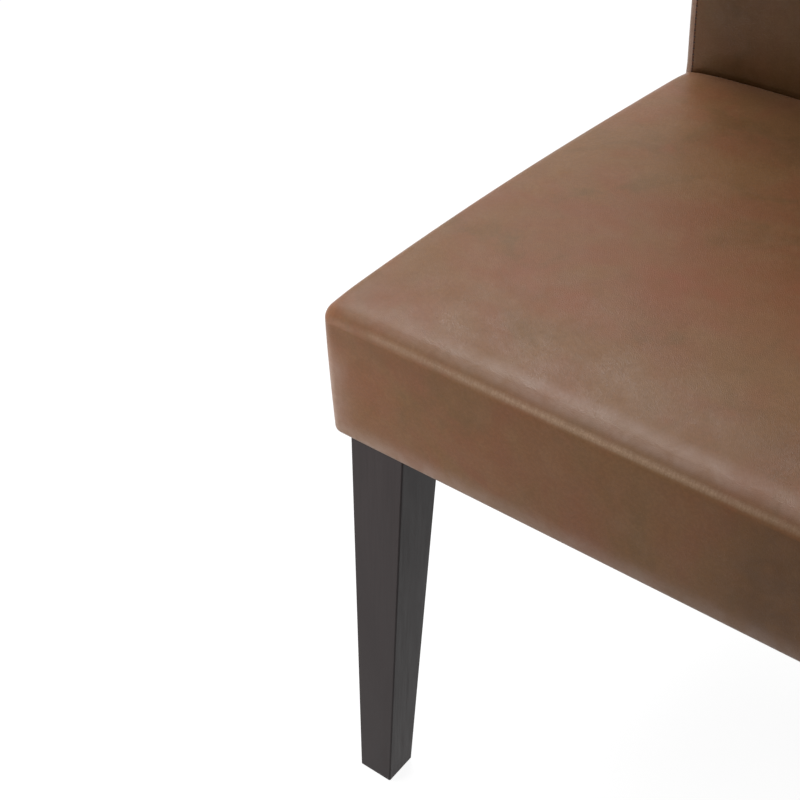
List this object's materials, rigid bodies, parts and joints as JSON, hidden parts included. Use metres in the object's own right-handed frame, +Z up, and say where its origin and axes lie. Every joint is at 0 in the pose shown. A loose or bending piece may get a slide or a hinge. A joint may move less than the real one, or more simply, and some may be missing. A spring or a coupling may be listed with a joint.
{
  "type": "parsons chair",
  "caption": "Upholstered dining chair with a box seat, a full-height padded back, square tapered front legs and raked rear legs, in distressed brown leather.",
  "frame": {"origin": "middle of the plan box, on the floor under the glides", "axes": "+Z up; the chair faces -Y; +X to the right as seen from in front, so the pictured corner is at -X, -Y"},
  "size_m": [0.4682, 0.5586, 0.9858],
  "materials": {
    "stained_wood": "dark espresso stain under satin lacquer",
    "bare_wood": "planed, unfinished",
    "leather": "distressed brown, waxed, mottled",
    "nylon": "moulded",
    "zinc_steel": "zinc plated",
    "spring_steel": "drawn wire, oiled",
    "foam": "open cell",
    "wadding": "bonded fibre",
    "felt": "pressed fibre",
    "webbing": "woven jute",
    "dust_cloth": "non-woven, matte",
    "fibreboard": "pressed, brown"
  },
  "bodies": {
    "root": {"front_leg_left": "stained_wood", "front_leg_right": "stained_wood", "rear_leg_left": "stained_wood", "rear_leg_right": "stained_wood", "front_rail": "bare_wood", "side_rail_left": "bare_wood", "side_rail_right": "bare_wood", "rear_rail": "bare_wood", "front_corner_block_left": "bare_wood", "front_corner_block_right": "bare_wood", "front_block_screw_1_left": "zinc_steel", "front_block_screw_1_right": "zinc_steel", "front_block_screw_2_left": "zinc_steel", "front_block_screw_2_right": "zinc_steel", "rear_corner_block_left": "bare_wood", "rear_corner_block_right": "bare_wood", "rear_block_screw_1_left": "zinc_steel", "rear_block_screw_1_right": "zinc_steel", "rear_block_screw_2_left": "zinc_steel", "rear_block_screw_2_right": "zinc_steel", "rail_screw_1_left": "zinc_steel", "rail_screw_1_right": "zinc_steel", "rail_screw_2_left": "zinc_steel", "rail_screw_2_right": "zinc_steel", "front_glide_left": "nylon", "front_glide_right": "nylon", "rear_glide_left": "nylon", "rear_glide_right": "nylon", "seat_spring_1": "spring_steel", "spring_clip_front_1": "zinc_steel", "spring_clip_rear_1": "zinc_steel", "seat_spring_2": "spring_steel", "spring_clip_front_2": "zinc_steel", "spring_clip_rear_2": "zinc_steel", "seat_spring_3": "spring_steel", "spring_clip_front_3": "zinc_steel", "spring_clip_rear_3": "zinc_steel", "seat_spring_4": "spring_steel", "spring_clip_front_4": "zinc_steel", "spring_clip_rear_4": "zinc_steel", "spring_felt": "felt", "seat_foam": "foam", "front_pad": "wadding", "side_pad_left": "wadding", "side_pad_right": "wadding", "seat_cover": "leather", "crest_rail": "bare_wood", "mid_rail": "bare_wood", "lower_back_rail": "bare_wood", "back_strap_1": "webbing", "back_strap_2": "webbing", "back_strap_3": "webbing", "back_foam": "foam", "back_board": "fibreboard", "back_front_panel": "leather", "back_boxing": "leather", "back_rear_panel": "leather", "dust_cover": "dust_cloth"}
  },
  "joints": []
}
